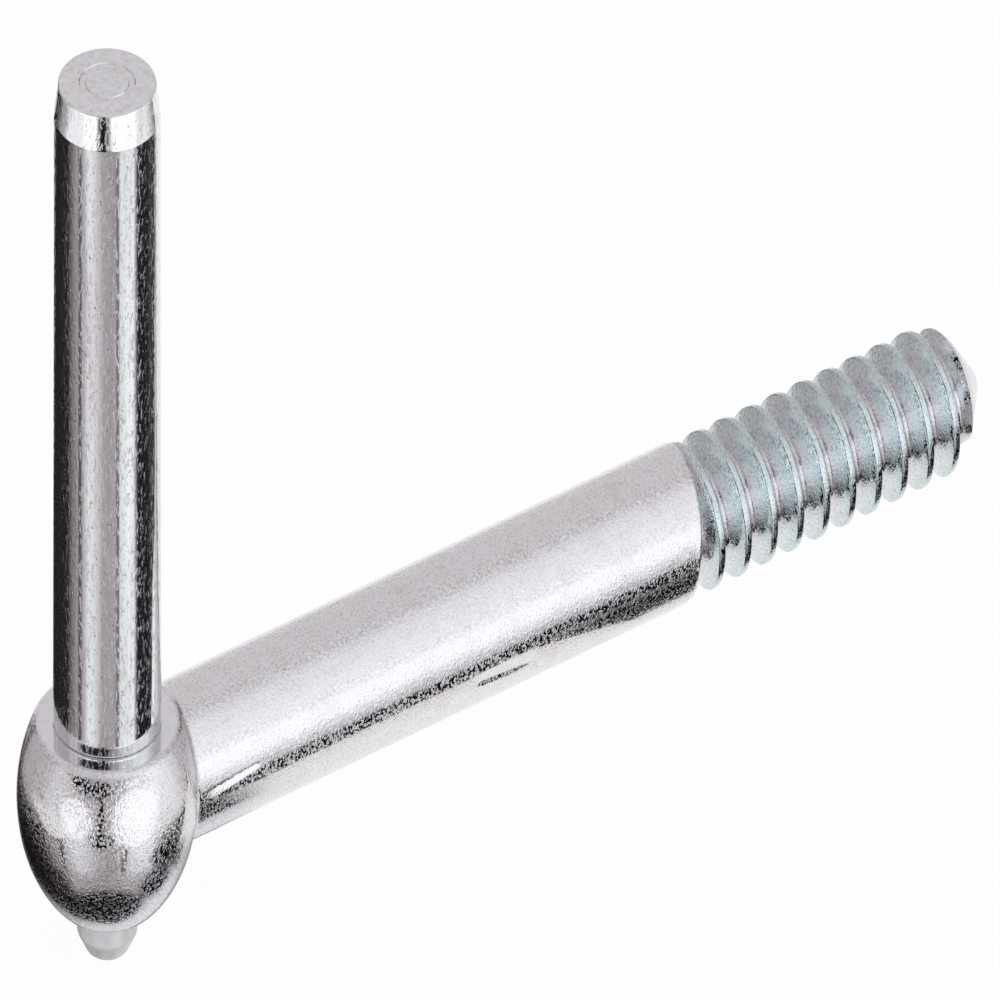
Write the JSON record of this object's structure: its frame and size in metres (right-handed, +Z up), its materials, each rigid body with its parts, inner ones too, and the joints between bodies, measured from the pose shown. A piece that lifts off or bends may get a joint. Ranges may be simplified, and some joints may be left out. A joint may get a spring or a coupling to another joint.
{
  "type": "gate hinge pin",
  "caption": "Upright gate hinge pin driven through the ball head of a lag-threaded shank, screwed into a post so that a gate's strap turns on the pin.",
  "frame": {"origin": "centre of the pin's foot on the ball's flat seat", "axes": "+Z up along the pin, +X along the shank towards its screw point"},
  "size_m": [0.1693, 0.0266, 0.0945],
  "materials": {
    "zinc_forging": "bright zinc plate over a forged, finely grained surface",
    "zinc_pin": "bright zinc plate over smooth drawn bar"
  },
  "bodies": {
    "root": {"lag_shank": "zinc_forging", "hinge_pin": "zinc_pin"}
  },
  "joints": []
}
